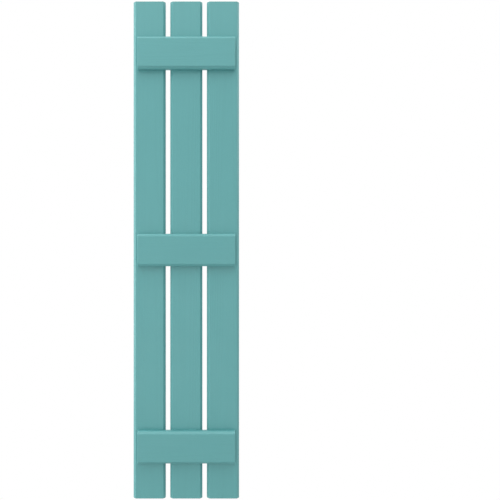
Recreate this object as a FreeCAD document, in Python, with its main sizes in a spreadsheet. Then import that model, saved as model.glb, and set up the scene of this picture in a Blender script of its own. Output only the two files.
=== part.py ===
import FreeCAD, Part
import math
import os

import Sketcher

# Spaced board and batten shutter, in millimetres.
#
# Three upright boards stand side by side with open gaps between them, and three
# short battens cross their front. Boards and battens are cut from the same kind of
# flat stock: a flat back, two long front edges bevelled at 45 degrees, square ends,
# and every sharp edge eased. Two countersunk screws at each crossing come in from
# the back, on the board's centre line so that the board can swell and shrink, and
# end inside the batten. The front shows no fastening.
#
# +Z is up and the front faces -Y. The back lies in the plane Y = 0, against the
# wall, and the origin is the centre of the middle board's back.

# Driving sizes: name, value and what it measures
SIZES = (
    ("board_length", 1371.6, "board, end to end"),
    ("board_width", 88.9, "board, side to side"),
    ("board_thickness", 19.05, "board, back to front"),
    ("board_bevel", 6.35, "bevel on a board's long front edges"),
    ("board_gap", 12.7, "open gap between two boards"),
    ("batten_width", 88.9, "batten, top to bottom"),
    ("batten_thickness", 19.05, "batten, back to front"),
    ("batten_bevel", 6.35, "bevel on a batten's long front edges"),
    ("batten_inset", 12.7, "shutter's side to the batten's end"),
    ("batten_setback", 101.6, "board's end to the nearest batten"),
    ("arris", 0.8, "narrow flat planed along every sharp edge"),
    ("screw_pair", 44.0, "between the two screws of a crossing"),
    ("clearance_diameter", 4.5, "screw hole through a board"),
    ("countersink_diameter", 9.6, "mouth of a screw hole, at the back"),
    ("countersink_angle", 82.0, "countersink's full angle, in degrees"),
    ("pilot_diameter", 3.0, "screw hole in a batten"),
    ("pilot_cover", 6.35, "batten left whole in front of a hole"),
    ("drill_angle", 118.0, "drill point's full angle, in degrees"),
)

# Places and fits that follow from the driving sizes
BOARD_PITCH = "(Sizes.board_width + Sizes.board_gap)"
BOARD_SPAN = f"(2 * {BOARD_PITCH})"
BATTEN_SPAN = "(Sizes.board_length - 2 * Sizes.batten_setback - Sizes.batten_width)"
BATTEN_LENGTH = f"{BOARD_SPAN} + Sizes.board_width - 2 * Sizes.batten_inset"
PILOT_DEPTH = "Sizes.batten_thickness - Sizes.pilot_cover"

# Each board's place across the shutter, counted in half spans from the middle
BOARDS = {"left_board": -1, "middle_board": 0, "right_board": 1}

# Each batten's place up the shutter, counted in half spans from the middle
BATTENS = {"top_batten": 1, "middle_batten": 0, "bottom_batten": -1}

# Every stick crosses three others, with two screws at each crossing
CROSSINGS = 3
SCREWS = 2 * CROSSINGS


def make_sheet(doc):
    """Write the driving sizes into the document's sheet, one named cell each."""
    sheet = doc.addObject("Spreadsheet::Sheet", "Sizes")
    for row, (name, value, meaning) in enumerate(SIZES, start=1):
        sheet.set(f"A{row}", meaning)
        sheet.set(f"B{row}", str(value))
        sheet.setAlias(f"B{row}", name)
    doc.recompute()


def origin_feature(body, role):
    """Find one of the body's own origin planes or axes."""
    for feature in body.Origin.OriginFeatures:
        if feature.Role == role:
            return feature
    raise ValueError(f"{body.Label} has no {role}")


def add_sketch(body, name, plane):
    """Add an empty sketch on one of the body's own origin planes."""
    sketch = body.newObject("Sketcher::SketchObject", name)
    sketch.AttachmentSupport = [(origin_feature(body, plane), "")]
    sketch.MapMode = "FlatFace"
    return sketch


def add_dimension(sketch, name, size, kind, *points):
    """Put a named dimension on a sketch and bind it to the sheet."""
    value = sketch.evalExpression(size)
    index = sketch.addConstraint(Sketcher.Constraint(kind, *points, value))
    sketch.renameConstraint(index, name)
    sketch.setExpression(f"Constraints.{name}", size)


def draw_section(sketch, width, thickness, bevel):
    """Draw a stick's section: a flat back on the X axis and two bevelled front edges."""
    half = sketch.evalExpression(width) / 2
    front = -sketch.evalExpression(thickness)
    leg = sketch.evalExpression(bevel)
    corners = [
        (-half, 0),
        (half, 0),
        (half, front + leg),
        (half - leg, front),
        (leg - half, front),
        (-half, front + leg),
    ]
    points = [FreeCAD.Vector(x, y, 0) for x, y in corners]
    back, right, right_bevel, face, left_bevel, left = range(len(points))
    for side, start in enumerate(points):
        sketch.addGeometry(Part.LineSegment(start, points[(side + 1) % len(points)]))
    for side in range(len(points)):
        sketch.addConstraint(Sketcher.Constraint("Coincident", side, 2, (side + 1) % len(points), 1))

    # The back is centred on the sketch's origin, which is point 1 of geometry -1
    sketch.addConstraint(Sketcher.Constraint("Symmetric", back, 1, back, 2, -1, 1))
    for level in (back, face):
        sketch.addConstraint(Sketcher.Constraint("Horizontal", level))
    for upright in (right, left):
        sketch.addConstraint(Sketcher.Constraint("Vertical", upright))
    add_dimension(sketch, "width", width, "DistanceX", back, 1, back, 2)
    add_dimension(sketch, "thickness", thickness, "DistanceY", face, 1, -1, 1)
    add_dimension(sketch, "right_bevel_across", bevel, "DistanceX", right_bevel, 2, right_bevel, 1)
    add_dimension(sketch, "right_bevel_back", bevel, "DistanceY", right_bevel, 2, right_bevel, 1)
    add_dimension(sketch, "left_bevel_across", bevel, "DistanceX", left_bevel, 2, left_bevel, 1)
    add_dimension(sketch, "left_bevel_back", bevel, "DistanceY", left_bevel, 1, left_bevel, 2)


def make_stick(doc, name, width, thickness, bevel, length):
    """Make a stick standing on end, centred on the origin, with its back in Y = 0."""
    body = doc.addObject("PartDesign::Body", name)
    body.Label = name
    sketch = add_sketch(body, f"{name}_section", "XY_Plane")
    draw_section(sketch, width, thickness, bevel)

    blank = body.newObject("PartDesign::Pad", f"{name}_blank")
    blank.Profile = sketch
    blank.SideType = "Symmetric"
    blank.setExpression("Length", length)
    doc.recompute()

    eased = body.newObject("PartDesign::Chamfer", f"{name}_eased")
    eased.Base = (blank, [])
    eased.UseAllEdges = True
    eased.setExpression("Size", "Sizes.arris")
    doc.recompute()
    return body


def draw_screw_pair(body, span, across, along):
    """Mark the two screws of a stick's lowest crossing on its back."""
    sketch = add_sketch(body, f"{body.Label}_screw_pair", "XZ_Plane")
    radius = sketch.evalExpression("Sizes.clearance_diameter / 2")
    for screw, side in enumerate((-1, 1)):
        place_x = f"{side} * {across} / 2"
        place_y = f"{side} * {along} / 2 - {span} / 2"
        centre = FreeCAD.Vector(sketch.evalExpression(place_x), sketch.evalExpression(place_y), 0)
        sketch.addGeometry(Part.Circle(centre, FreeCAD.Vector(0, 0, 1), radius))
        sketch.addConstraint(Sketcher.Constraint("Radius", screw, radius))
        add_dimension(sketch, f"screw_{screw}_across", place_x, "DistanceX", -1, 1, screw, 3)
        add_dimension(sketch, f"screw_{screw}_along", place_y, "DistanceY", -1, 1, screw, 3)
    return sketch


def drill_crossings(doc, body, sketch, diameter, span):
    """Drill the marked pair into the stick's back and repeat it at every crossing."""
    hole = body.newObject("PartDesign::Hole", f"{body.Label}_hole")
    hole.Profile = sketch
    doc.recompute()
    hole.Reversed = True
    hole.setExpression("Diameter", diameter)
    doc.recompute()

    pattern = body.newObject("PartDesign::LinearPattern", f"{body.Label}_holes")
    pattern.Originals = [hole]
    pattern.Direction = (origin_feature(body, "Z_Axis"), [""])
    pattern.Mode = "Extent"
    pattern.Occurrences = CROSSINGS
    pattern.setExpression("Length", span)
    body.Tip = pattern
    return hole


def require_drilled(body, blank_volume, diameter, depth):
    """Stop if the holes took less out of the stick than they should."""
    least = SCREWS * math.pi * diameter**2 / 4 * depth
    if blank_volume - body.Shape.Volume < least * 0.999:
        raise RuntimeError(f"{body.Label}: the screw holes are missing")


def make_board(doc, name, place):
    """Make one upright board with countersunk clearance holes at the battens."""
    body = make_stick(
        doc, name, "Sizes.board_width", "Sizes.board_thickness", "Sizes.board_bevel", "Sizes.board_length"
    )
    blank_volume = body.Shape.Volume
    sketch = draw_screw_pair(body, BATTEN_SPAN, "0", "Sizes.screw_pair")
    hole = drill_crossings(doc, body, sketch, "Sizes.clearance_diameter", BATTEN_SPAN)
    hole.DepthType = "ThroughAll"
    hole.HoleCutType = "Countersink"
    hole.HoleCutCustomValues = True
    hole.setExpression("HoleCutDiameter", "Sizes.countersink_diameter")
    hole.setExpression("HoleCutCountersinkAngle", "Sizes.countersink_angle")
    body.setExpression("Placement.Base.x", f"{place} * {BOARD_SPAN} / 2")
    doc.recompute()
    diameter = body.evalExpression("Sizes.clearance_diameter")
    require_drilled(body, blank_volume, diameter, body.evalExpression("Sizes.board_thickness"))
    return body


def make_batten(doc, name, place):
    """Make one batten, laid level on the boards, with blind pilot holes behind."""
    body = make_stick(
        doc, name, "Sizes.batten_width", "Sizes.batten_thickness", "Sizes.batten_bevel", BATTEN_LENGTH
    )
    blank_volume = body.Shape.Volume
    sketch = draw_screw_pair(body, BOARD_SPAN, "Sizes.screw_pair", "0")
    hole = drill_crossings(doc, body, sketch, "Sizes.pilot_diameter", BOARD_SPAN)
    hole.DepthType = "Dimension"
    hole.setExpression("Depth", PILOT_DEPTH)
    hole.DrillPoint = "Angled"
    hole.setExpression("DrillPointAngle", "Sizes.drill_angle")
    body.Placement.Rotation = FreeCAD.Rotation(FreeCAD.Vector(0, 1, 0), 90)
    body.setExpression("Placement.Base.y", "-Sizes.board_thickness")
    body.setExpression("Placement.Base.z", f"{place} * {BATTEN_SPAN} / 2")
    doc.recompute()
    diameter = body.evalExpression("Sizes.pilot_diameter")
    require_drilled(body, blank_volume, diameter, body.evalExpression(PILOT_DEPTH))
    return body


def require_sound(doc, bodies):
    """Stop if an object failed to compute or a piece isn't one valid solid."""
    for item in doc.Objects:
        if "Invalid" in item.State or "Error" in item.State:
            raise RuntimeError(f"{item.Label}: {item.State}")
    for body in bodies:
        shape = body.Shape
        if shape.isNull() or not shape.isValid() or len(shape.Solids) != 1:
            raise RuntimeError(f"{body.Label} is not one valid solid")


def main():
    doc = FreeCAD.newDocument("board_and_batten_shutter")
    make_sheet(doc)
    bodies = [make_board(doc, name, place) for name, place in BOARDS.items()]
    bodies += [make_batten(doc, name, place) for name, place in BATTENS.items()]
    doc.recompute()
    require_sound(doc, bodies)

    os.makedirs("parts", exist_ok=True)
    for body in bodies:
        body.Shape.exportStep(f"parts/{body.Label}.step")
        box = body.Shape.BoundBox
        print(
            f"{body.Label}: {box.XLength:.2f} x {box.YLength:.2f} x {box.ZLength:.2f} mm, "
            f"{body.Shape.Volume / 1e6:.4f} l"
        )


main()
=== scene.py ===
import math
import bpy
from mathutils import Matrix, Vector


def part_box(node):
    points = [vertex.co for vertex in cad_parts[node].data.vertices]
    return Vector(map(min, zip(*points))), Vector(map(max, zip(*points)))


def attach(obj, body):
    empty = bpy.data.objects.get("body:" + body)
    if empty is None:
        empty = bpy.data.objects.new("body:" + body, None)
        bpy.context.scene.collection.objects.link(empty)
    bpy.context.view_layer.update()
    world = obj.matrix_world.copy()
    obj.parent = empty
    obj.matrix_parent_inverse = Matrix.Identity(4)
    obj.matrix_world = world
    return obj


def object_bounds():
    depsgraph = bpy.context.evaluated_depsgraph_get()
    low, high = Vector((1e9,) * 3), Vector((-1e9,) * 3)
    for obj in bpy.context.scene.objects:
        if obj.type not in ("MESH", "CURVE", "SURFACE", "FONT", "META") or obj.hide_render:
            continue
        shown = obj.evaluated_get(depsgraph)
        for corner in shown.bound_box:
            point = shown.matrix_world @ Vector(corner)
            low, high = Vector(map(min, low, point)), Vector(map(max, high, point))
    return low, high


bl_info = {
    "name": "Board and Batten Shutter",
    "version": (1, 0, 0),
    "blender": (4, 5, 0),
    "location": "View3D > Sidebar > Shutter",
    "description": "Paints the boards and battens, drives their screws and sets up a white studio",
    "category": "Object",
}

import bmesh
import bpy
from mathutils import Matrix, Vector

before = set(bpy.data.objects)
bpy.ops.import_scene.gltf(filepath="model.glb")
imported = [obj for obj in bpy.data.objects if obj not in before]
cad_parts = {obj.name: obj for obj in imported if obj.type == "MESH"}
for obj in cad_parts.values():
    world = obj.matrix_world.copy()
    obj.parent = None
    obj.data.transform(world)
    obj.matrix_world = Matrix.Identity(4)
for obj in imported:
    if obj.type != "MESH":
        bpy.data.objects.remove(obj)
CAD_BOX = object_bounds()

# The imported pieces, and how each one was sawn: where the heart of its log lay,
# sideways and behind its back, and how far the grain wanders from the stick
BOARDS = {
    "left_board": (0.006, 0.034, 5.0),
    "middle_board": (-0.010, 0.046, -4.0),
    "right_board": (0.013, 0.040, 6.0),
}
BATTENS = {
    "top_batten": (-0.008, 0.038, 8.0),
    "middle_batten": (0.011, 0.050, -7.0),
    "bottom_batten": (0.004, 0.042, 9.0),
}

# The shutter has no joint, so everything rides on one body
SHUTTER_BODY = "root"

# Width of the photograph's frame, in pixels, for the lens
PHOTO_WIDTH = 500

# Softboxes that stay out of the picture: place, width and height in metres, power in watts
SOFTBOXES = {
    "key_softbox": ((-0.4, -4.4, 4.1), 5.0, 3.2, 65.0),
    "overhead_softbox": ((0.0, -0.4, 3.0), 3.6, 3.2, 65.0),
    "front_softbox": ((0.0, -3.4, -0.7), 2.6, 2.6, 15.0),
    "left_softbox": ((-2.8, -0.3, 0.3), 3.4, 3.4, 70.0),
    "right_softbox": ((2.6, 1.1, 1.6), 2.4, 2.4, 25.0),
    "back_left_softbox": ((-2.2, 2.6, 0.6), 4.0, 4.0, 30.0),
    "back_right_softbox": ((2.2, 2.6, 0.6), 4.0, 4.0, 30.0),
}


# Sizes and colours that a user would change


class ShutterPaint(bpy.types.PropertyGroup):
    """The satin paint and the planed wood that shows faintly through it."""

    colour: bpy.props.FloatVectorProperty(
        name="Colour",
        description="Colour of the paint",
        subtype="COLOR",
        size=3,
        min=0.0,
        max=1.0,
        default=(0.116, 0.379, 0.383),
    )
    roughness: bpy.props.FloatProperty(
        name="Roughness",
        description="How far the paint spreads a highlight",
        subtype="FACTOR",
        min=0.0,
        max=1.0,
        default=0.4,
    )
    roughness_spread: bpy.props.FloatProperty(
        name="Roughness spread",
        description="How far the sheen drifts up and down over a face",
        subtype="FACTOR",
        min=0.0,
        max=0.5,
        default=0.05,
    )
    shade_spread: bpy.props.FloatProperty(
        name="Shade spread",
        description="How much darker the thinnest paint looks",
        subtype="FACTOR",
        min=0.0,
        max=0.5,
        default=0.015,
    )
    ring_spacing: bpy.props.FloatProperty(
        name="Ring spacing",
        description="Width of one year's growth in the wood",
        unit="LENGTH",
        precision=5,
        min=0.0005,
        default=0.0032,
    )
    grain_height: bpy.props.FloatProperty(
        name="Grain height",
        description="How far the growth rings stand up under the paint",
        unit="LENGTH",
        precision=6,
        min=0.0,
        default=0.00006,
    )
    fibre_width: bpy.props.FloatProperty(
        name="Fibre width",
        description="Width of the fine streaks between the growth rings",
        unit="LENGTH",
        precision=5,
        min=0.0001,
        default=0.0011,
    )
    fibre_height: bpy.props.FloatProperty(
        name="Fibre height",
        description="How far the fine streaks stand up under the paint",
        unit="LENGTH",
        precision=6,
        min=0.0,
        default=0.00009,
    )
    stipple_size: bpy.props.FloatProperty(
        name="Stipple size",
        description="Width of the paint's fine orange peel",
        unit="LENGTH",
        precision=5,
        min=0.0001,
        default=0.0011,
    )
    stipple_height: bpy.props.FloatProperty(
        name="Stipple height",
        description="Depth of the paint's fine orange peel",
        unit="LENGTH",
        precision=6,
        min=0.0,
        default=0.00004,
    )
    pore_height: bpy.props.FloatProperty(
        name="End grain depth",
        description="Depth of the open pores on the sawn ends",
        unit="LENGTH",
        precision=6,
        min=0.0,
        default=0.00004,
    )


class ShutterScrews(bpy.types.PropertyGroup):
    """The countersunk wood screws that hold the battens to the boards."""

    spacing: bpy.props.FloatProperty(
        name="Pair spacing",
        description="Between the two screws of a crossing",
        unit="LENGTH",
        precision=4,
        default=0.044,
    )
    head_diameter: bpy.props.FloatProperty(
        name="Head diameter",
        description="Across the flat of the head",
        unit="LENGTH",
        precision=5,
        default=0.0083,
    )
    head_angle: bpy.props.FloatProperty(
        name="Head angle",
        description="Full angle of the cone under the head",
        subtype="ANGLE",
        default=math.radians(82.0),
    )
    head_land: bpy.props.FloatProperty(
        name="Head land",
        description="Height of the head's upright rim",
        unit="LENGTH",
        precision=5,
        default=0.0002,
    )
    head_sink: bpy.props.FloatProperty(
        name="Head sink",
        description="How far the head lies below the board's back",
        unit="LENGTH",
        precision=5,
        default=0.0005,
    )
    recess_length: bpy.props.FloatProperty(
        name="Recess length",
        description="From tip to tip of the cross that the driver fits",
        unit="LENGTH",
        precision=5,
        default=0.0046,
    )
    recess_width: bpy.props.FloatProperty(
        name="Recess width",
        description="Width of one arm of the cross",
        unit="LENGTH",
        precision=5,
        default=0.0011,
    )
    recess_depth: bpy.props.FloatProperty(
        name="Recess depth",
        description="Depth of the cross",
        unit="LENGTH",
        precision=5,
        default=0.0021,
    )
    shank_diameter: bpy.props.FloatProperty(
        name="Shank diameter",
        description="Across the smooth shank and the thread's crest",
        unit="LENGTH",
        precision=5,
        default=0.0042,
    )
    core_diameter: bpy.props.FloatProperty(
        name="Core diameter",
        description="Across the thread's root",
        unit="LENGTH",
        precision=5,
        default=0.0029,
    )
    length: bpy.props.FloatProperty(
        name="Length",
        description="From the top of the head to the point",
        unit="LENGTH",
        precision=5,
        default=0.03175,
    )
    thread_start: bpy.props.FloatProperty(
        name="Thread start",
        description="From the top of the head to the first turn",
        unit="LENGTH",
        precision=5,
        default=0.0115,
    )
    thread_pitch: bpy.props.FloatProperty(
        name="Thread pitch",
        description="From one turn of the thread to the next",
        unit="LENGTH",
        precision=5,
        default=0.0025,
    )
    point_length: bpy.props.FloatProperty(
        name="Point length",
        description="Length of the tapered point",
        unit="LENGTH",
        precision=5,
        default=0.0045,
    )
    steel: bpy.props.FloatVectorProperty(
        name="Steel",
        description="Colour of the plated steel",
        subtype="COLOR",
        size=3,
        min=0.0,
        max=1.0,
        default=(0.56, 0.57, 0.58),
    )
    steel_roughness: bpy.props.FloatProperty(
        name="Steel roughness",
        description="How far the plated steel spreads a highlight",
        subtype="FACTOR",
        min=0.0,
        max=1.0,
        default=0.3,
    )


class ShutterStudio(bpy.types.PropertyGroup):
    """The white studio and the camera."""

    focal_pixels: bpy.props.FloatProperty(
        name="Focal length in pixels",
        description="Lens of the photograph, in pixels of its frame",
        default=551.2,
    )
    camera_distance: bpy.props.FloatProperty(
        name="Camera distance",
        description="From the boards' front to the camera",
        unit="LENGTH",
        default=1.52,
    )
    camera_shift: bpy.props.FloatProperty(
        name="Camera shift",
        description="Sideways shift that puts the shutter left of the frame's middle",
        default=0.1273,
    )
    light_level: bpy.props.FloatProperty(
        name="Light level",
        description="Factor on every softbox's power",
        subtype="FACTOR",
        min=0.0,
        soft_max=2.0,
        default=1.0,
    )
    ambient_level: bpy.props.FloatProperty(
        name="Ambient level",
        description="Even light that comes from all round",
        subtype="FACTOR",
        min=0.0,
        max=1.0,
        default=0.45,
    )
    floor_drop: bpy.props.FloatProperty(
        name="Floor drop",
        description="From the shutter's lower end to the floor",
        unit="LENGTH",
        default=1.0,
    )
    floor_radius: bpy.props.FloatProperty(
        name="Floor radius",
        description="Radius of the floor",
        unit="LENGTH",
        default=6.0,
    )
    floor_lift: bpy.props.FloatProperty(
        name="Floor lift",
        description="How far the floor is lifted towards the backdrop's white where it is seen",
        subtype="FACTOR",
        min=0.0,
        max=1.0,
        default=0.6,
    )
    floor_fade_start: bpy.props.FloatProperty(
        name="Fade start",
        description="Distance from the shutter at which the floor starts to fade into the backdrop",
        unit="LENGTH",
        default=0.9,
    )
    floor_fade_end: bpy.props.FloatProperty(
        name="Fade end",
        description="Distance from the shutter at which the floor is as white as the backdrop",
        unit="LENGTH",
        default=1.8,
    )


# Node helpers


def new_material(name):
    """Make a node material that holds only its output, and return it with its tree."""
    material = bpy.data.materials.new(name)
    material.use_nodes = True
    tree = material.node_tree
    tree.nodes.clear()
    return material, tree


def add_node(tree, kind, column, row, **settings):
    """Add a node on a tidy grid and set its properties."""
    node = tree.nodes.new(kind)
    node.location = (column * 220, -row * 240)
    for name, value in settings.items():
        setattr(node, name, value)
    return node


def add_math(tree, operation, column, row, first, second=None):
    """Add a maths node whose inputs are either sockets or plain numbers."""
    node = add_node(tree, "ShaderNodeMath", column, row, operation=operation)
    for socket, value in zip(node.inputs, (first, second)):
        if isinstance(value, bpy.types.NodeSocket):
            tree.links.new(value, socket)
        elif value is not None:
            socket.default_value = value
    return node.outputs["Value"]


def add_sum(tree, column, row, value, factor, added):
    """Add a node that scales one socket and adds another to it."""
    total = add_math(tree, "MULTIPLY_ADD", column, row, value, factor)
    tree.links.new(added, total.node.inputs[2])
    return total


def add_noise(tree, column, row, vector, scale, detail=2.0):
    """Add a noise texture of a given scale, in features for each metre."""
    node = add_node(tree, "ShaderNodeTexNoise", column, row)
    node.inputs["Scale"].default_value = scale
    node.inputs["Detail"].default_value = detail
    tree.links.new(vector, node.inputs["Vector"])
    return node.outputs["Fac"]


def add_range(tree, column, row, value, start, end, clamp=True):
    """Add a node that carries one range of values to another, and stops at its ends if clamped."""
    node = add_node(tree, "ShaderNodeMapRange", column, row, clamp=clamp)
    node.inputs["From Min"].default_value, node.inputs["From Max"].default_value = start
    node.inputs["To Min"].default_value, node.inputs["To Max"].default_value = end
    tree.links.new(value, node.inputs["Value"])
    return node.outputs["Result"]


def add_bump(tree, column, row, height, distance, normal=None):
    """Add a bump whose full height is a length in metres."""
    node = add_node(tree, "ShaderNodeBump", column, row)
    node.inputs["Strength"].default_value = 1.0
    node.inputs["Distance"].default_value = distance
    tree.links.new(height, node.inputs["Height"])
    if normal is not None:
        tree.links.new(normal, node.inputs["Normal"])
    return node.outputs["Normal"]


def add_shaded_colour(tree, column, row, colour, shade):
    """Multiply a plain colour by a shade that varies over the surface."""
    tint = add_node(tree, "ShaderNodeMix", column, row, data_type="RGBA", blend_type="MULTIPLY")
    tint.inputs["Factor"].default_value = 1.0
    tint.inputs["A"].default_value = (*colour, 1.0)
    grey = add_node(tree, "ShaderNodeCombineColor", column - 1, row)
    for channel in ("Red", "Green", "Blue"):
        tree.links.new(shade, grey.inputs[channel])
    tree.links.new(grey.outputs["Color"], tint.inputs["B"])
    return tint.outputs["Result"]


def show_surface(tree, column, shader):
    """Join a finished shader to its material's output."""
    output = add_node(tree, "ShaderNodeOutputMaterial", column, 0)
    tree.links.new(shader, output.inputs["Surface"])


# Materials

# A wave texture of scale 1 has one ring in this many metres
WAVE_PERIOD = math.tau / 20

# Nearly all of a noise texture's values lie between these two
NOISE_RANGE = (0.3, 0.7)
NOISE_SWING = NOISE_RANGE[1] - NOISE_RANGE[0]

# How much longer than wide the wood's figure is, and how sharply its late wood stands out
FIGURE_STRETCH = 16.0
LATE_WOOD_SHARPNESS = 2.5

# How squarely a face looks along the grain where sawn end begins, and where it is all sawn end
SAWN_END = (0.75, 0.95)

# How much the ridges and the sawn ends thin the paint, next to the clouds in it
RIDGE_THINNING = 0.25
END_THINNING = 2.5

# The thickest and the usual thinnest paint on that scale
THINNING_RANGE = (0.25, 0.75)

# How much duller the sawn ends are
END_DULLNESS = 0.15

# Features for each metre: clouds in the paint, drifts of its sheen and pores of the sawn ends
CLOUDS = 7.0
SHEEN_DRIFTS = 18.0
END_PORES = 1400.0

# How strongly a film of paint bends light
PAINT_IOR = 1.5

# Features for each metre of the steel: dull spots, patches of plating and tumbling marks
DULL_SPOTS = 500.0
PLATING_PATCHES = 240.0
TUMBLING_MARKS = 2500.0

# Height of the tumbling marks, in metres
TUMBLING_HEIGHT = 0.000006

# Grey of the studio floor
FLOOR_GREY = 0.6


def make_paint(name, settings, back_centre, across_grain, heart):
    """Make the satin paint of one stick, over wood whose rings run along the stick.

    The coordinates are turned and moved so that their Z axis is the heart of the
    log, which lies behind the stick's back and wanders a little from its length.
    """
    material, tree = new_material(name)
    sideways, behind, wander = heart
    coordinates = add_node(tree, "ShaderNodeTexCoord", -8, 1)

    placed = add_node(tree, "ShaderNodeMapping", -7, 1, vector_type="POINT")
    placed.inputs["Location"].default_value = -back_centre
    tree.links.new(coordinates.outputs["Object"], placed.inputs["Vector"])

    lay_level = math.radians(-90.0) if across_grain else 0.0
    turned = add_node(tree, "ShaderNodeMapping", -6, 1, vector_type="POINT")
    turned.inputs["Rotation"].default_value = (0.0, lay_level, 0.0)
    turned.inputs["Location"].default_value = (-sideways, -behind, 0.0)
    tree.links.new(placed.outputs["Vector"], turned.inputs["Vector"])

    along_log = add_node(tree, "ShaderNodeMapping", -5, 1, vector_type="POINT")
    along_log.inputs["Scale"].default_value = (1.0, 1.0, 1.0 / FIGURE_STRETCH)
    along_log.inputs["Rotation"].default_value = (math.radians(wander), 0.0, 0.0)
    tree.links.new(turned.outputs["Vector"], along_log.inputs["Vector"])
    log_place = along_log.outputs["Vector"]

    # Growth rings: the hard late wood stands up as narrow ridges
    rings = add_node(tree, "ShaderNodeTexWave", -4, 1, wave_type="RINGS", rings_direction="Z")
    rings.inputs["Scale"].default_value = WAVE_PERIOD / settings.ring_spacing
    rings.inputs["Distortion"].default_value = 5.0
    rings.inputs["Detail"].default_value = 2.0
    rings.inputs["Detail Scale"].default_value = 0.35
    rings.inputs["Detail Roughness"].default_value = 0.55
    tree.links.new(log_place, rings.inputs["Vector"])
    late_wood = add_math(tree, "POWER", -3, 1, rings.outputs["Fac"], LATE_WOOD_SHARPNESS)

    # The ends of a stick face along its grain
    split_normal = add_node(tree, "ShaderNodeSeparateXYZ", -6, 3)
    tree.links.new(coordinates.outputs["Normal"], split_normal.inputs["Vector"])
    along = split_normal.outputs["X" if across_grain else "Z"]
    facing_end = add_math(tree, "ABSOLUTE", -5, 3, along)
    end_grain = add_range(tree, -4, 3, facing_end, SAWN_END, (0.0, 1.0))

    # Colour: thinner paint over the ridges and in broad soft clouds, and on the thirsty ends
    clouds = add_noise(tree, -4, 0, placed.outputs["Vector"], CLOUDS, detail=3.0)
    thin_paint = add_sum(tree, -3, 0, late_wood, RIDGE_THINNING, clouds)
    thinnest_paint = add_sum(tree, -2, 0, end_grain, END_THINNING, thin_paint)
    shades = (1.0 + settings.shade_spread, 1.0 - settings.shade_spread)
    shade = add_range(tree, -1, 0, thinnest_paint, THINNING_RANGE, shades, clamp=False)
    colour = add_shaded_colour(tree, 1, 0, settings.colour, shade)

    # Sheen
    drift = add_noise(tree, -4, 4, placed.outputs["Vector"], SHEEN_DRIFTS, detail=4.0)
    glossiest = settings.roughness - settings.roughness_spread
    dullest = settings.roughness + settings.roughness_spread
    sheen = add_range(tree, -3, 4, drift, NOISE_RANGE, (glossiest, dullest))
    roughness = add_sum(tree, -2, 4, end_grain, END_DULLNESS, sheen)

    # Relief: rings and fibres, then the open pores of the ends, then the paint's orange peel
    fibres = add_noise(tree, -4, 7, log_place, 1.0 / settings.fibre_width, detail=2.0)
    peel = add_noise(tree, -4, 6, placed.outputs["Vector"], 1.0 / settings.stipple_size, detail=1.0)
    pores = add_noise(tree, -4, 5, log_place, END_PORES, detail=2.0)
    open_pores = add_math(tree, "MULTIPLY", -3, 5, pores, end_grain)
    relief = add_bump(tree, -2, 5, late_wood, settings.grain_height)
    relief = add_bump(tree, -1, 5, fibres, settings.fibre_height / NOISE_SWING, relief)
    relief = add_bump(tree, 0, 5, open_pores, settings.pore_height, relief)
    relief = add_bump(tree, 1, 5, peel, settings.stipple_height / NOISE_SWING, relief)

    paint = add_node(tree, "ShaderNodeBsdfPrincipled", 2, 1)
    paint.inputs["IOR"].default_value = PAINT_IOR
    tree.links.new(colour, paint.inputs["Base Color"])
    tree.links.new(roughness, paint.inputs["Roughness"])
    tree.links.new(relief, paint.inputs["Normal"])
    show_surface(tree, 3, paint.outputs["BSDF"])
    return material


def make_steel(settings):
    """Make the plated steel of the screws: bright, with a fine tumbled surface."""
    material, tree = new_material("plated_steel")
    coordinates = add_node(tree, "ShaderNodeTexCoord", -4, 0)
    place = coordinates.outputs["Object"]
    spots = add_noise(tree, -3, 0, place, DULL_SPOTS, detail=3.0)
    brightest = settings.steel_roughness - 0.06
    dullest = settings.steel_roughness + 0.08
    roughness = add_range(tree, -2, 0, spots, NOISE_RANGE, (brightest, dullest))
    patches = add_noise(tree, -3, 1, place, PLATING_PATCHES, detail=2.0)
    shade = add_range(tree, -2, 1, patches, NOISE_RANGE, (0.92, 1.04))
    colour = add_shaded_colour(tree, 0, 1, settings.steel, shade)
    marks = add_noise(tree, -3, 2, place, TUMBLING_MARKS, detail=2.0)
    relief = add_bump(tree, -1, 3, marks, TUMBLING_HEIGHT)
    steel = add_node(tree, "ShaderNodeBsdfPrincipled", 1, 0)
    steel.inputs["Metallic"].default_value = 1.0
    tree.links.new(colour, steel.inputs["Base Color"])
    tree.links.new(roughness, steel.inputs["Roughness"])
    tree.links.new(relief, steel.inputs["Normal"])
    show_surface(tree, 2, steel.outputs["BSDF"])
    return material


def add_seen_ray(tree, column, row):
    """Add a switch that is 1 for rays from the camera, a gloss or a glass, and 0 for other light."""
    path = add_node(tree, "ShaderNodeLightPath", column, row)
    camera = path.outputs["Is Camera Ray"]
    glossy = path.outputs["Is Glossy Ray"]
    camera_or_gloss = add_math(tree, "MAXIMUM", column + 1, row, camera, glossy)
    glass = path.outputs["Is Transmission Ray"]
    return add_math(tree, "MAXIMUM", column + 2, row, camera_or_gloss, glass)


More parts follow.
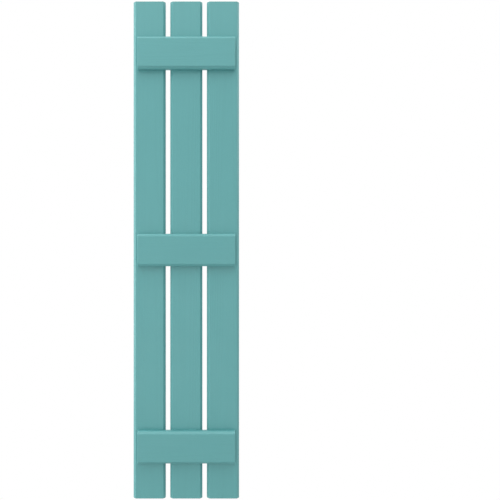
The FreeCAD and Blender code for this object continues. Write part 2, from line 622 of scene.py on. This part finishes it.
def make_floor_finish(settings):
    """Make the pale floor, which fades into the white backdrop away from the shutter."""
    material, tree = new_material("studio_floor")
    coordinates = add_node(tree, "ShaderNodeTexCoord", -5, 0)
    flat = add_node(tree, "ShaderNodeVectorMath", -4, 0, operation="MULTIPLY")
    flat.inputs[1].default_value = (1.0, 1.0, 0.0)
    tree.links.new(coordinates.outputs["Object"], flat.inputs[0])
    distance = add_node(tree, "ShaderNodeVectorMath", -3, 0, operation="LENGTH")
    tree.links.new(flat.outputs["Vector"], distance.inputs[0])
    reach = (settings.floor_fade_start, settings.floor_fade_end)
    fade = add_range(tree, -2, 0, distance.outputs["Value"], reach, (settings.floor_lift, 1.0))
    seen_fade = add_math(tree, "MULTIPLY", -1, 0, fade, add_seen_ray(tree, -4, 2))
    matt = add_node(tree, "ShaderNodeBsdfDiffuse", -1, 1)
    matt.inputs["Color"].default_value = (FLOOR_GREY, FLOOR_GREY, FLOOR_GREY, 1.0)
    white = add_node(tree, "ShaderNodeEmission", -1, 2)
    blend = add_node(tree, "ShaderNodeMixShader", 0, 0)
    tree.links.new(seen_fade, blend.inputs[0])
    tree.links.new(matt.outputs["BSDF"], blend.inputs[1])
    tree.links.new(white.outputs["Emission"], blend.inputs[2])
    show_surface(tree, 1, blend.outputs["Shader"])
    return material


# Pieces

# Sides of a screw's circles, and of the floor
SCREW_SIDES = 32
FLOOR_SIDES = 64

# Width of the recess's floor, as a share of its mouth
RECESS_TAPER = 0.5

# Steps in one turn of the thread, half its foot as a share of the pitch, and how deep its foot
# sits in the core
THREAD_STEPS = 16
THREAD_HALF_FOOT = 0.2
THREAD_SEAT = 0.9

# Width of the screw's tip, as a share of its core
TIP_WIDTH = 0.05

# Between the angles at which two neighbouring screws stop turning, in radians
TURN_STEP = 2.4

# Edges that turn further than this stay crisp
CRISP_ANGLE = math.radians(35.0)


def middle(node):
    """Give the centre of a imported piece."""
    low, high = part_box(node)
    return (low + high) / 2


def paint_sticks(sticks, settings, across_grain):
    """Give each stick paint of its own, so that no two show the same figure."""
    for name, heart in sticks.items():
        back_centre = middle(name)
        back_centre.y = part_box(name)[1].y
        paint = make_paint(f"{name}_paint", settings, back_centre, across_grain, heart)
        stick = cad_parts[name]
        if not stick.material_slots:
            raise RuntimeError(f"{name} has no material slot to paint")
        for slot in stick.material_slots:
            slot.material = paint


def part_of(result, kind):
    """Pick one kind of element out of what a bmesh operator returns."""
    return [item for item in result["geom"] if isinstance(item, kind)]


def extrude_ring(piece, ring, depth, radius, old_radius):
    """Carry a ring of edges down to a depth, at another radius, and give the new ring."""
    result = bmesh.ops.extrude_edge_only(piece, edges=ring)
    corners = part_of(result, bmesh.types.BMVert)
    factor = radius / old_radius
    for corner in corners:
        corner.co.z = -depth
    bmesh.ops.scale(piece, vec=(factor, factor, 1.0), verts=corners)
    new_corners = set(corners)
    return [edge for edge in part_of(result, bmesh.types.BMEdge) if set(edge.verts) <= new_corners]


def press_cross(piece, settings):
    """Cut a cross into the head's flat and press it in with tapered walls."""
    half_length = settings.recess_length / 2
    half_width = settings.recess_width / 2
    for axis in (Vector((1, 0, 0)), Vector((0, 1, 0))):
        for offset in (-half_length, -half_width, half_width, half_length):
            geometry = piece.verts[:] + piece.edges[:] + piece.faces[:]
            place = axis * offset
            bmesh.ops.bisect_plane(piece, geom=geometry, dist=1e-7, plane_co=place, plane_no=axis)
    cross = []
    for face in piece.faces:
        centre = face.calc_center_median()
        nearest, furthest = sorted((abs(centre.x), abs(centre.y)))
        if nearest < half_width and furthest < half_length:
            cross.append(face)
    result = bmesh.ops.extrude_face_region(piece, geom=cross)
    bmesh.ops.delete(piece, geom=cross, context="FACES")
    floor = part_of(result, bmesh.types.BMVert)
    bmesh.ops.translate(piece, vec=(0, 0, -settings.recess_depth), verts=floor)
    bmesh.ops.scale(piece, vec=(RECESS_TAPER, RECESS_TAPER, 1.0), verts=floor)


def cut_thread(piece, settings):
    """Wind a ridge round the core, from the shank to the start of the point."""
    foot = settings.core_diameter / 2 * THREAD_SEAT
    crest = settings.shank_diameter / 2
    half_foot = settings.thread_pitch * THREAD_HALF_FOOT
    start = settings.thread_start
    turns = (settings.length - settings.point_length - start) / settings.thread_pitch
    steps = round(turns * THREAD_STEPS)
    corners = [
        piece.verts.new((foot, 0, -start - half_foot)),
        piece.verts.new((crest, 0, -start)),
        piece.verts.new((foot, 0, -start + half_foot)),
    ]
    section = piece.faces.new(corners)
    bmesh.ops.spin(
        piece,
        geom=[section, *section.edges, *section.verts],
        cent=(0, 0, 0),
        axis=(0, 0, 1),
        dvec=(0, 0, -settings.thread_pitch * turns / steps),
        angle=math.tau * turns,
        steps=steps,
        use_duplicate=False,
    )


def make_screw(settings):
    """Make one countersunk screw that stands on its point, with its flat at the origin."""
    piece = bmesh.new()
    head = settings.head_diameter / 2
    shank = settings.shank_diameter / 2
    core = settings.core_diameter / 2
    bmesh.ops.create_circle(piece, cap_ends=True, segments=SCREW_SIDES, radius=head)
    press_cross(piece, settings)

    # From the rim down: the land, the cone, the shank, the core and the point
    under_head = settings.head_land + (head - shank) / math.tan(settings.head_angle / 2)
    stations = (
        (settings.head_land, head),
        (under_head, shank),
        (settings.thread_start - settings.thread_pitch / 2, shank),
        (settings.thread_start, core),
        (settings.length - settings.point_length, core),
        (settings.length, core * TIP_WIDTH),
    )
    ring = [edge for edge in piece.edges if edge.is_boundary]
    radius = head
    for depth, next_radius in stations:
        ring = extrude_ring(piece, ring, depth, next_radius, radius)
        radius = next_radius
    bmesh.ops.contextual_create(piece, geom=ring)
    cut_thread(piece, settings)
    bmesh.ops.recalc_face_normals(piece, faces=piece.faces[:])
    return piece


def finish_screws(piece, name, steel):
    """Turn finished screws into an object with smooth turned faces and crisp edges."""
    for face in piece.faces:
        face.smooth = True
    for edge in piece.edges:
        edge.smooth = edge.is_manifold and edge.calc_face_angle() < CRISP_ANGLE
    mesh = bpy.data.meshes.new(name)
    piece.to_mesh(mesh)
    piece.free()
    mesh.materials.append(steel)
    screws = bpy.data.objects.new(name, mesh)
    bpy.context.scene.collection.objects.link(screws)
    return screws


def drive_screws(batten, settings, steel, first_turn):
    """Drive the batten's six screws, two from the back of each board."""
    joined = bpy.data.meshes.new("screws_so_far")
    row = bmesh.new()
    to_the_back = Matrix.Rotation(math.radians(-90.0), 4, "X")
    for count, board in enumerate(BOARDS):
        across = middle(board).x
        head_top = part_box(board)[1].y - settings.head_sink
        for side in (-1, 1):
            level = middle(batten).z + side * settings.spacing / 2
            place = Vector((across, head_top, level))
            # Each screw stops turning at an angle of its own
            turn = Matrix.Rotation(first_turn + (2 * count + side) * TURN_STEP, 4, "Z")
            screw = make_screw(settings)
            screw.transform(Matrix.Translation(place) @ to_the_back @ turn)
            screw.to_mesh(joined)
            screw.free()
            row.from_mesh(joined)
    bpy.data.meshes.remove(joined)
    return finish_screws(row, f"{batten}_screws", steel)


# The studio


def make_floor(settings):
    """Make the floor, level and well below the shutter."""
    piece = bmesh.new()
    bmesh.ops.create_circle(piece, cap_ends=True, segments=FLOOR_SIDES, radius=settings.floor_radius)
    level = CAD_BOX[0][2] - settings.floor_drop
    bmesh.ops.translate(piece, vec=(0, 0, level), verts=piece.verts[:])
    bmesh.ops.recalc_face_normals(piece, faces=piece.faces[:])
    mesh = bpy.data.meshes.new("studio_floor")
    piece.to_mesh(mesh)
    piece.free()
    if mesh.polygons[0].normal.z < 0:
        mesh.flip_normals()
    mesh.materials.append(make_floor_finish(settings))
    floor = bpy.data.objects.new("studio_floor", mesh)
    bpy.context.scene.collection.objects.link(floor)
    return floor


def make_backdrop(settings):
    """Make the world: white where it is seen, and a plain even light on the shutter."""
    world = bpy.data.worlds.new("studio_backdrop")
    bpy.context.scene.world = world
    world.use_nodes = True
    tree = world.node_tree
    tree.nodes.clear()
    level = add_range(tree, 0, 0, add_seen_ray(tree, -3, 0), (0.0, 1.0), (settings.ambient_level, 1.0))
    light = add_node(tree, "ShaderNodeBackground", 1, 0)
    light.inputs["Color"].default_value = (1.0, 1.0, 1.0, 1.0)
    tree.links.new(level, light.inputs["Strength"])
    output = add_node(tree, "ShaderNodeOutputWorld", 2, 0)
    tree.links.new(light.outputs["Background"], output.inputs["Surface"])


def hang_softbox(name, place, width, height, power):
    """Hang one softbox and aim it at the shutter's middle."""
    lamp = bpy.data.lights.new(name, "AREA")
    lamp.shape = "RECTANGLE"
    lamp.size = width
    lamp.size_y = height
    lamp.energy = power
    softbox = bpy.data.objects.new(name, lamp)
    bpy.context.scene.collection.objects.link(softbox)
    softbox.location = place
    softbox.rotation_euler = (-Vector(place)).to_track_quat("-Z", "Y").to_euler()
    softbox.visible_camera = False


def place_camera(settings):
    """Place the camera square to the front, at the shutter's middle height."""
    camera = bpy.data.cameras.new("photo_camera")
    camera.lens = settings.focal_pixels / PHOTO_WIDTH * camera.sensor_width
    camera.shift_x = settings.camera_shift
    holder = bpy.data.objects.new("photo_camera", camera)
    bpy.context.scene.collection.objects.link(holder)
    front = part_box("middle_board")[0].y
    holder.location = (0.0, front - settings.camera_distance, 0.0)
    holder.rotation_euler = (math.radians(90.0), 0.0, 0.0)
    bpy.context.scene.camera = holder


# Operators


class SHUTTER_OT_paint_boards(bpy.types.Operator):
    """Paint the three upright boards"""

    bl_idname = "shutter.paint_boards"
    bl_label = "Paint Boards"

    def execute(self, context):
        paint_sticks(BOARDS, context.scene.shutter_paint, across_grain=False)
        return {"FINISHED"}


class SHUTTER_OT_paint_battens(bpy.types.Operator):
    """Paint the three battens that cross the boards"""

    bl_idname = "shutter.paint_battens"
    bl_label = "Paint Battens"

    def execute(self, context):
        paint_sticks(BATTENS, context.scene.shutter_paint, across_grain=True)
        return {"FINISHED"}


class SHUTTER_OT_drive_screws(bpy.types.Operator):
    """Drive the countersunk screws from the boards' backs into the battens"""

    bl_idname = "shutter.drive_screws"
    bl_label = "Drive Screws"

    def execute(self, context):
        settings = context.scene.shutter_screws
        steel = make_steel(settings)
        for count, batten in enumerate(BATTENS):
            screws = drive_screws(batten, settings, steel, first_turn=count)
            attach(screws, SHUTTER_BODY)
        return {"FINISHED"}


class SHUTTER_OT_set_studio(bpy.types.Operator):
    """Set up the floor, the backdrop, the softboxes and the camera"""

    bl_idname = "shutter.set_studio"
    bl_label = "Set Up Studio"

    def execute(self, context):
        settings = context.scene.shutter_studio
        floor = make_floor(settings)
        make_backdrop(settings)
        for name, (place, width, height, power) in SOFTBOXES.items():
            hang_softbox(name, place, width, height, power * settings.light_level)
        place_camera(settings)
        context.scene.view_settings.view_transform = "Standard"
        return {"FINISHED"}


class SHUTTER_PT_panel(bpy.types.Panel):
    """Lists the shutter's sizes, colours and making steps"""

    bl_idname = "SHUTTER_PT_panel"
    bl_label = "Board and Batten Shutter"
    bl_space_type = "VIEW_3D"
    bl_region_type = "UI"
    bl_category = "Shutter"

    def draw(self, context):
        scene = context.scene
        for title, settings, steps in (
            ("Paint", scene.shutter_paint, (SHUTTER_OT_paint_boards, SHUTTER_OT_paint_battens)),
            ("Screws", scene.shutter_screws, (SHUTTER_OT_drive_screws,)),
            ("Studio", scene.shutter_studio, (SHUTTER_OT_set_studio,)),
        ):
            box = self.layout.box()
            box.label(text=title)
            for name in settings.__annotations__:
                box.prop(settings, name)
            for step in steps:
                box.operator(step.bl_idname)


CLASSES = (
    ShutterPaint,
    ShutterScrews,
    ShutterStudio,
    SHUTTER_OT_paint_boards,
    SHUTTER_OT_paint_battens,
    SHUTTER_OT_drive_screws,
    SHUTTER_OT_set_studio,
    SHUTTER_PT_panel,
)


def register():
    for item in CLASSES:
        bpy.utils.register_class(item)
    bpy.types.Scene.shutter_paint = bpy.props.PointerProperty(type=ShutterPaint)
    bpy.types.Scene.shutter_screws = bpy.props.PointerProperty(type=ShutterScrews)
    bpy.types.Scene.shutter_studio = bpy.props.PointerProperty(type=ShutterStudio)


def unregister():
    del bpy.types.Scene.shutter_studio
    del bpy.types.Scene.shutter_screws
    del bpy.types.Scene.shutter_paint
    for item in reversed(CLASSES):
        bpy.utils.unregister_class(item)


def main():
    register()
    bpy.ops.shutter.paint_boards()
    bpy.ops.shutter.paint_battens()
    bpy.ops.shutter.drive_screws()
    bpy.ops.shutter.set_studio()


if __name__ == "__main__":
    main()
